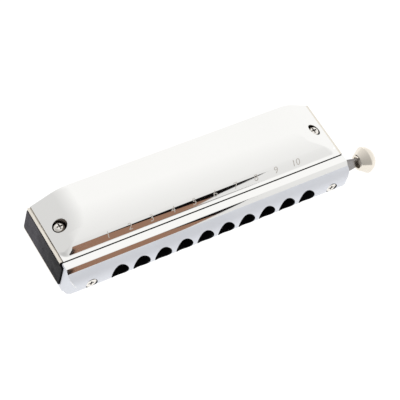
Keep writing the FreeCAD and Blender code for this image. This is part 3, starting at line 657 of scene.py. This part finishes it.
def make_covers():
    """The upper cover, and the same pressing turned over below."""
    holes = [
        disc_tool("cup_hole", (side * SCREW_X, SCREW_Y), CUP_LIP, FOOT, CROWN + 2)
        for side in SIDES
    ]
    sheet = carve(cover_sheet(), holes)
    shade(sheet, [cover_normal])
    # the sheet's cut edges take CUP_SHADE, a painted dark line of shade along the edge
    for face in sheet.polygons:
        face.material_index = 1 if abs(face.normal.z) < EDGE_FACE else 0
    cups = [cup(side) for side in SIDES]
    flip = Euler((0, math.pi, 0)).to_matrix().to_4x4()
    turn_over = Matrix.Translation((0, 0, 2 * MIDDLE * MM)) @ flip
    for level in LEVELS:
        node = level + "_cover"
        meshes = {"pressing": sheet, "left_cup": cups[0], "right_cup": cups[1]}
        for name, mesh in meshes.items():
            part = new_object(f"{node}_{name}", mesh.copy(), [CHROME, CUP_SHADE], "body")
            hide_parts(node)
            if level == "lower":
                part.matrix_world = turn_over @ part.matrix_world


# ---------------------------------------------------------------- numbers

NUMBER_HEIGHT = 3.0
FONT_SCALE = 1.35
NUMBER_DEPTH = (LIP + WALL_TOP_Y) / 2 + 0.3
NUMBER_PROUD = 0.035
STROKE_DEPTH = 0.012
STROKE_THINNING = 0.035


def split_finely(mesh):
    """Divide long faces, so that thin strokes can follow a curved wall."""
    work = bmesh.new()
    work.from_mesh(mesh)
    bmesh.ops.triangulate(work, faces=work.faces)
    bmesh.ops.subdivide_edges(work, edges=work.edges, cuts=3, use_grid_fill=True)
    work.to_mesh(mesh)
    work.free()


def number_mesh(text):
    """A flat number of thin strokes, centred on the origin."""
    words = bpy.data.curves.new("number", "FONT")
    words.body = text
    words.size = NUMBER_HEIGHT * MM * FONT_SCALE
    words.align_x = "CENTER"
    words.align_y = "CENTER"
    words.extrude = STROKE_DEPTH * MM
    words.offset = -STROKE_THINNING * MM
    writing = bpy.data.objects.new("number", words)
    bpy.context.scene.collection.objects.link(writing)
    graph = bpy.context.evaluated_depsgraph_get()
    mesh = bpy.data.meshes.new_from_object(writing.evaluated_get(graph))
    bpy.data.objects.remove(writing)
    return mesh


def make_numbers():
    """Hole numbers on the upper cover's front wall, thin and slightly proud of it."""
    lean = Euler((math.atan(WALL_SLOPE), 0, 0)).to_matrix().to_4x4()
    for index in range(HOLE_COUNT):
        mesh = number_mesh(str(index + 1))
        split_finely(mesh)
        place = Matrix.Translation(Vector((hole_x(index), FRONT + NUMBER_DEPTH, 0)) * MM)
        mesh.transform(place @ lean)
        for vertex in mesh.vertices:
            point = vertex.co / MM
            rise = point.z - (point.y - FRONT - NUMBER_DEPTH) * WALL_SLOPE
            height = cover_height(point.x, point.y) + rise + NUMBER_PROUD
            vertex.co.z = (MIDDLE + height) * MM
        new_object("number_%d" % (index + 1), mesh, [ETCHED], "body")


# ---------------------------------------------------------------- mouthpiece

# the bar's section: a flat ledge, a slightly crowned bevel and a round nose
LEDGE = 7.25
LEDGE_FRONT = -3.6
BEVEL_FRONT = -5.05
BEVEL_Z = 5.74
BEVEL_RADIUS = 20.0
BEVEL_MIDDLE = Vector((LEDGE_FRONT + BEVEL_FRONT, LEDGE + BEVEL_Z)) / 2
BEVEL_CHORD = Vector((LEDGE_FRONT - BEVEL_FRONT, LEDGE - BEVEL_Z))
BEVEL_INWARD = Vector((BEVEL_CHORD.y, -BEVEL_CHORD.x)).normalized()
BEVEL_SAG = math.sqrt(BEVEL_RADIUS ** 2 - BEVEL_CHORD.length ** 2 / 4)
BEVEL_CENTRE = BEVEL_MIDDLE + BEVEL_INWARD * BEVEL_SAG
BEVEL_SHARES = (0.2, 0.35, 0.5, 0.65, 0.8)
NOSE_RADIUS = 6.1
NOSE_CENTRE = BEVEL_FRONT + math.sqrt(NOSE_RADIUS ** 2 - BEVEL_Z ** 2)
NOSE_STEPS = 72
NOSE_SKIPPED = 3
BACK_EDGE_ROUND = 0.25
FRONT_EDGE_ROUND = 0.2
COVER_GAP = 0.15
CORNER = 3.0
CORNER_STEPS = 12

# what is cut out of the bar: depths, and half widths and heights from its middle
CHANNEL_END = 61.9
CHANNEL_HALF = 5.7
CHANNEL_FRONT = -3.7
END_WALL_BACK = -1.9
EXIT_START = 50.0
EXIT_HALF = 5.4
EXIT_FRONT = -3.2
EXIT_BACK = -2.1
SEAT_X = 54.4
SEAT_RADIUS = 2.45
SEAT_FLOOR = -8.5
SEAT_FOOT = -7.3
SCREW_WAY = 1.0
BEYOND_FRONT = -12.0
BEYOND_BACK = 2.0
BEYOND_END = 80.0

# how far a point may stand off a surface and still count as on it
NOSE_NEAR = 0.03
BEVEL_NEAR = 0.02
CORNER_NEAR = 0.05
END_NEAR = 0.02
BORE_NEAR = 0.05
NO_NORMAL = Vector((0, 0, 0))


def rounded_corner(before, corner, after, reach, steps=5):
    """Points of a small curve in place of a corner."""
    corner = Vector(corner)
    start = corner + (Vector(before) - corner).normalized() * reach
    end = corner + (Vector(after) - corner).normalized() * reach
    points = []
    for step in range(steps + 1):
        share = step / steps
        middle = corner * 2 * share * (1 - share)
        points.append(start * (1 - share) ** 2 + middle + end * share ** 2)
    return points


def nose_profile():
    """The bar's section as (depth, height) points, from the top back edge to the bottom one."""
    start = math.asin(BEVEL_Z / NOSE_RADIUS)
    arc = []
    for step in range(NOSE_STEPS + 1):
        angle = start * (1 - 2 * step / NOSE_STEPS)
        depth = NOSE_CENTRE - NOSE_RADIUS * math.cos(angle)
        arc.append(Vector((depth, NOSE_RADIUS * math.sin(angle))))
    arc = arc[NOSE_SKIPPED:-NOSE_SKIPPED]
    back = MOUTH_HIGH.y - FRONT - COVER_GAP
    top_back = (back, LEDGE)
    ledge = (LEDGE_FRONT, LEDGE)
    bevel = (BEVEL_FRONT, BEVEL_Z)
    upper = rounded_corner((back, 0), top_back, ledge, BACK_EDGE_ROUND)
    upper += rounded_corner(top_back, ledge, bevel, FRONT_EDGE_ROUND)
    for share in BEVEL_SHARES:
        away = Vector(ledge).lerp(Vector(bevel), share) - BEVEL_CENTRE
        upper.append(BEVEL_CENTRE + away.normalized() * BEVEL_RADIUS)
    upper += rounded_corner(ledge, bevel, arc[0], FRONT_EDGE_ROUND)
    lower = [Vector((point.x, -point.y)) for point in reversed(upper)]
    return upper + arc + lower


def mouth_bar():
    """The section drawn out along x, closed at both ends, with rounded upright corners."""
    profile = nose_profile()
    count = len(profile)
    half = MOUTH_HIGH.x
    tip = MOUTH_LOW.y - FRONT
    stations = []
    for step in range(CORNER_STEPS + 1):
        angle = math.pi / 2 * step / CORNER_STEPS
        x = half - CORNER + CORNER * math.sin(angle)
        stations.append((x, tip + CORNER * (1 - math.cos(angle))))
    stations = [(-x, limit) for x, limit in reversed(stations)] + stations
    points = [
        (x, FRONT + max(depth, limit), MIDDLE + height)
        for x, limit in stations for depth, height in profile
    ]
    faces = []
    for station in range(len(stations) - 1):
        this = station * count
        following = this + count
        for step in range(count):
            after = (step + 1) % count
            faces.append((this + step, this + after, following + after, following + step))
    faces.append(tuple(range(count)))
    faces.append(tuple(range(len(points) - count, len(points)))[::-1])
    mesh = mesh_of("mouth_bar", points, faces)
    tidy(mesh)
    return mesh


def nose_normal(point):
    """The nose's true normal at a point, or none off the nose."""
    away = Vector((0, point.y - FRONT - NOSE_CENTRE, point.z - MIDDLE))
    on_nose = abs(away.length - NOSE_RADIUS) < NOSE_NEAR and abs(away.z) < BEVEL_Z + 0.01
    return away.normalized() if on_nose else NO_NORMAL


def bevel_normal(point):
    """The slightly crowned bevel's normal at a point, or none off the bevel."""
    height = point.z - MIDDLE
    away = Vector((point.y - FRONT, abs(height))) - BEVEL_CENTRE
    if abs(away.length - BEVEL_RADIUS) > BEVEL_NEAR or not BEVEL_Z < abs(height) < LEDGE:
        return NO_NORMAL
    return Vector((0, away.x, math.copysign(away.y, height))).normalized()


def corner_normal(point):
    """The normal of the upright rounding at either end, or none off it."""
    side = math.copysign(1, point.x)
    centre = Vector((side * (MOUTH_HIGH.x - CORNER), MOUTH_LOW.y + CORNER))
    away = point.xy - centre
    on_corner = abs(away.length - CORNER) < CORNER_NEAR and side * away.x > -0.1
    return Vector((away.x, away.y, 0)).normalized() if on_corner else NO_NORMAL


def end_normal(point):
    """The flat end's normal, or none away from the ends."""
    on_end = abs(abs(point.x) - MOUTH_HIGH.x) < END_NEAR
    return Vector((math.copysign(1, point.x), 0, 0)) if on_end else NO_NORMAL


def bore_normal(point):
    """The normal of the nearest mouth hole's wall, or none off it."""
    index = min(max(round(point.x / HOLE_PITCH + (HOLE_COUNT - 1) / 2), 0), HOLE_COUNT - 1)
    away = Vector((point.x - hole_x(index), 0, point.z - MIDDLE))
    return away.normalized() if abs(away.length - HOLE_RADIUS) < BORE_NEAR else NO_NORMAL


def screw_seat(side):
    """The cutter for a countersunk seat and its screw hole."""
    profile = [
        (BEYOND_FRONT, 0), (BEYOND_FRONT, SEAT_RADIUS), (SEAT_FLOOR, SEAT_RADIUS),
        (SEAT_FOOT, SCREW_WAY), (0, SCREW_WAY), (0, 0),
    ]
    mesh = turned("seat", profile, 48)
    place = Matrix.Translation(Vector((side * SEAT_X, FRONT, MIDDLE)) * MM)
    mesh.transform(place @ Matrix.Rotation(math.pi / 2, 4, "Z"))
    return mesh


def slot_tool(name, start, end, front, back, half):
    """A box cutter through the bar, between two x, two depths and a half height each way."""
    low = (start, FRONT + front, MIDDLE - half)
    return box_tool(name, low, (end, FRONT + back, MIDDLE + half))


def make_mouthpiece():
    """The plated bar with its holes, screw seats, channel and slide exit."""
    tools = [
        disc_tool("hole", (hole_x(index), MIDDLE), HOLE_RADIUS,
                  FRONT + BEYOND_FRONT, FRONT + 1, axis="y")
        for index in range(HOLE_COUNT)
    ]
    tools += [
        slot_tool("channel", -CHANNEL_END, CHANNEL_END, CHANNEL_FRONT, BEYOND_BACK, CHANNEL_HALF),
        slot_tool("flange_gap", -BEYOND_END, BEYOND_END, END_WALL_BACK, BEYOND_BACK, CHANNEL_HALF),
        slot_tool("slide_exit", EXIT_START, BEYOND_END, EXIT_FRONT, EXIT_BACK, EXIT_HALF),
    ]
    tools += [screw_seat(side) for side in SIDES]
    mesh = carve(mouth_bar(), tools)
    shade(mesh, [nose_normal, corner_normal, bore_normal, bevel_normal, end_normal], 0.985)
    # the finish of faces on none of the surfaces, then one for each surface in turn
    finishes = [CHROME, SHADED_NOSE_CHROME, SHADED_NOSE_CHROME, BORE_SHADE, CHROME, SHADED_NOSE_CHROME]
    for face in mesh.polygons:
        centre = face.center / MM
        off_axis = math.hypot(abs(centre.x) - SEAT_X, centre.z - MIDDLE)
        # the seat's faces take the painted bore shade, a dark ring round each screw
        in_seat = off_axis < SEAT_RADIUS and centre.y < FRONT + CHANNEL_FRONT
        if in_seat and face.material_index == 0:
            face.material_index = finishes.index(BORE_SHADE)
    bar = new_object("mouthpiece_bar", mesh, finishes, "body")
    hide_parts("mouthpiece")


# ---------------------------------------------------------------- button

# half sizes of the blade's slot, how far it goes in, and the pin's way
BLADE_HALF_THICK = 0.48
BLADE_HALF_WIDE = 2.68
BLADE_IN = 3.03
PIN_IN = 1.7
PIN_RADIUS = 0.6


def button_outline(back, face):
    """The flared button's outline as (x, radius) points, with a dished back."""
    rim = back + 3.5
    face_edge = (face, 3.9)
    shoulder = (rim + 1.5, 5.1)
    widest = (rim, 5.62)
    back_edge = (back, 3.3)
    dish = 2.3
    outline = [(face, 0.0), (face, 3.0)]
    outline += rounded_corner((face, 2.0), face_edge, (rim + 1.6, 5.0), 0.9)
    outline += rounded_corner(face_edge, shoulder, (rim, 5.6), 0.5)
    outline += rounded_corner(shoulder, widest, back_edge, 0.35)
    outline += rounded_corner(widest, back_edge, (back, dish), 0.25)
    outline += [(back, dish + 0.1), (back + 0.15, dish), (back + 1.0, dish), (back + 1.0, 0.0)]
    return outline


def make_button():
    """The flared button, with the blade's slot and the pin's way cut into it."""
    back = BUTTON_LOW.x
    middle = (BUTTON_LOW.y + BUTTON_HIGH.y) / 2
    mesh = turned("button", button_outline(back, BUTTON_HIGH.x))
    mesh.transform(Matrix.Translation(Vector((0, middle, MIDDLE)) * MM))
    slot = box_tool("slot", (back - 1, middle - BLADE_HALF_THICK, MIDDLE - BLADE_HALF_WIDE),
                    (back + BLADE_IN, middle + BLADE_HALF_THICK, MIDDLE + BLADE_HALF_WIDE))
    pin_way = disc_tool("pin_way", (back + PIN_IN, MIDDLE), PIN_RADIUS, middle - 2, middle + 10,
                        axis="y", sides=32)
    mesh = carve(mesh, [slot, pin_way])
    smooth_below(mesh, 28)
    knob = new_object("button_turning", mesh, [NICKEL], "slide")
    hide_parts("button")


# ---------------------------------------------------------------- studio, in metres and degrees

CAMERA_PLACE = (-0.26395, -0.26061, 0.51410)
CAMERA_AZIMUTH = 46.28
CAMERA_HEIGHT = 53.67
CAMERA_ROLL = 19.03
LENS = 145.0
SENSOR = 36.0


def make_camera():
    """A long lens above the mouthpiece's left, tilted a little."""
    data = bpy.data.cameras.new("camera")
    data.lens = LENS
    data.sensor_width = SENSOR
    data.clip_start = 0.01
    data.clip_end = 20.0
    camera = bpy.data.objects.new("camera", data)
    turn = math.radians(CAMERA_AZIMUTH)
    lift = math.radians(CAMERA_HEIGHT)
    roll = math.radians(CAMERA_ROLL)
    level_back = Vector((-math.sin(turn), -math.cos(turn), 0))
    back = level_back * math.cos(lift) + Vector((0, 0, math.sin(lift)))
    right = (-back).cross(Vector((0, 0, 1))).normalized()
    up = right.cross(-back)
    x = right * math.cos(roll) + up * math.sin(roll)
    y = up * math.cos(roll) - right * math.sin(roll)
    turned_view = Matrix((x, y, back)).transposed().to_4x4()
    camera.matrix_world = Matrix.Translation(CAMERA_PLACE) @ turned_view
    bpy.context.scene.collection.objects.link(camera)
    bpy.context.scene.camera = camera


FLOOR_HALF = 3.0
FLOOR_GLOW = 0.92


def make_floor():
    """A wide pale floor that glows enough to leave only a faint shadow."""
    corners = [(-1, -1), (1, -1), (1, 1), (-1, 1)]
    mesh = bpy.data.meshes.new("floor")
    points = [(x * FLOOR_HALF, y * FLOOR_HALF, 0) for x, y in corners]
    mesh.from_pydata(points, [], [(0, 1, 2, 3)])
    floor = bpy.data.objects.new("floor", mesh)
    nodes = Nodes("floor_paper")
    paper = nodes.between(nodes.noise(scale=30.0), (0.20, 0.20, 0.20), (0.22, 0.22, 0.22))
    nodes.surface(
        Base_Color=paper,
        Roughness=0.9,
        Emission_Color=(1, 1, 1, 1),
        Emission_Strength=FLOOR_GLOW,
    )
    mesh.materials.append(nodes.material)
    bpy.context.scene.collection.objects.link(floor)


KEY_PLACE = (0.3, 1.2, 0.3)
KEY_SIZE = 0.5
KEY_POWER = 0.5


def make_key():
    """A soft lamp low behind, where no front face mirrors it."""
    data = bpy.data.lights.new("key", "AREA")
    data.shape = "RECTANGLE"
    data.size = KEY_SIZE
    data.size_y = KEY_SIZE
    data.energy = KEY_POWER
    light = bpy.data.objects.new("key", data)
    light.location = KEY_PLACE
    light.rotation_euler = (-Vector(KEY_PLACE)).to_track_quat("-Z", "Y").to_euler()
    bpy.context.scene.collection.objects.link(light)


# The tent's brightness overhead, and what it gains to the right and behind.
TENT = (0.836, 0.33, 0.177)
TENT_MOST = 1.03

# The brown card and the dark gap at its left.  A turn is counted from straight in front
# towards the right, a lift from level, and a lean is the turn gained per degree of lift.
CARD_COLOUR = (0.33, 0.185, 0.125, 1)
GAP_COLOUR = (0.004, 0.003, 0.003, 1)
CARD_LIFT = (9.0, 33.0)
CARD_TURN = (21.94, 28.4)
CARD_LEAN = (0.165, 0.5)
GAP_TURN = 21.5
GAP_LEAN = 0.19
MIDDLE_LIFT = 22.0

# The dark edge along the card's top, which comes further down towards the right.
EDGE_TOP = 34.0
EDGE_START = 25.4
EDGE_GROWTH = 6.0
EDGE_MOST = 20.0


def card_and_gap(nodes, ways):
    """How much of a direction lies in the card or the gap, and which colour it has."""
    turn = nodes.math("ARCTAN2", ways["X"], nodes.math("MULTIPLY", ways["Y"], -1.0))
    turn = nodes.math("DEGREES", turn)
    lift = nodes.math("DEGREES", nodes.math("ARCSINE", ways["Z"]))
    raised = nodes.math("SUBTRACT", lift, MIDDLE_LIFT)

    def right_of(line, lean, soft):
        """1 to the right of a leaning line, 0 to its left."""
        upright = nodes.math("MULTIPLY_ADD", raised, -lean, turn)
        return nodes.ramp_up(upright, line - soft, line + soft)

    def above(line, soft=0.5):
        """1 above a lift, 0 below it."""
        return nodes.ramp_up(lift, line - soft, line + soft)

    band = nodes.math("SUBTRACT", above(CARD_LIFT[0]), above(CARD_LIFT[1]))
    past_end = right_of(CARD_TURN[1], CARD_LEAN[1], 0.15)
    between_ends = nodes.math("MULTIPLY", right_of(GAP_TURN, GAP_LEAN, 0.06),
                              nodes.math("SUBTRACT", 1.0, past_end))
    inside = nodes.math("MULTIPLY", band, between_ends)
    drop = nodes.math("MULTIPLY", nodes.math("SUBTRACT", turn, EDGE_START), EDGE_GROWTH)
    drop = nodes.math("MINIMUM", nodes.math("MAXIMUM", drop, 0.0), EDGE_MOST)
    top = nodes.math("SUBTRACT", EDGE_TOP, drop)
    dark_edge = nodes.ramp_up(lift, top, nodes.math("ADD", top, 1.0))
    card = nodes.math("MULTIPLY", right_of(CARD_TURN[0], CARD_LEAN[0], 0.04),
                      nodes.math("SUBTRACT", 1.0, dark_edge))
    return inside, nodes.blend(card, GAP_COLOUR, CARD_COLOUR)


def make_tent():
    """A white tent, brighter to the right and behind, with a brown card beside a dark gap.

    The card and the gap stand low in front, where the front wall and the bevel mirror them.
    """
    world = bpy.data.worlds.new("tent")
    world.use_nodes = True
    bpy.context.scene.world = world
    nodes = Tree(world.node_tree)
    place = nodes.add("ShaderNodeTexCoord").outputs["Generated"]
    ways = nodes.add("ShaderNodeSeparateXYZ", Vector=place).outputs
    overhead, rightward, backward = TENT
    light = nodes.math("MULTIPLY_ADD", ways["X"], rightward, overhead)
    light = nodes.math("MULTIPLY_ADD", ways["Y"], backward, light)
    light = nodes.math("MINIMUM", light, TENT_MOST)
    white = nodes.add("ShaderNodeCombineColor", Red=light, Green=light, Blue=light)
    inside, colour = card_and_gap(nodes, ways)
    background = world.node_tree.nodes["Background"]
    nodes.set(background.inputs["Color"], nodes.blend(inside, white.outputs["Color"], colour))


finish_kept_nodes()
make_covers()
make_numbers()
make_mouthpiece()
make_button()
make_camera()
make_floor()
make_tent()
make_key()
bpy.context.scene.view_settings.view_transform = "Standard"
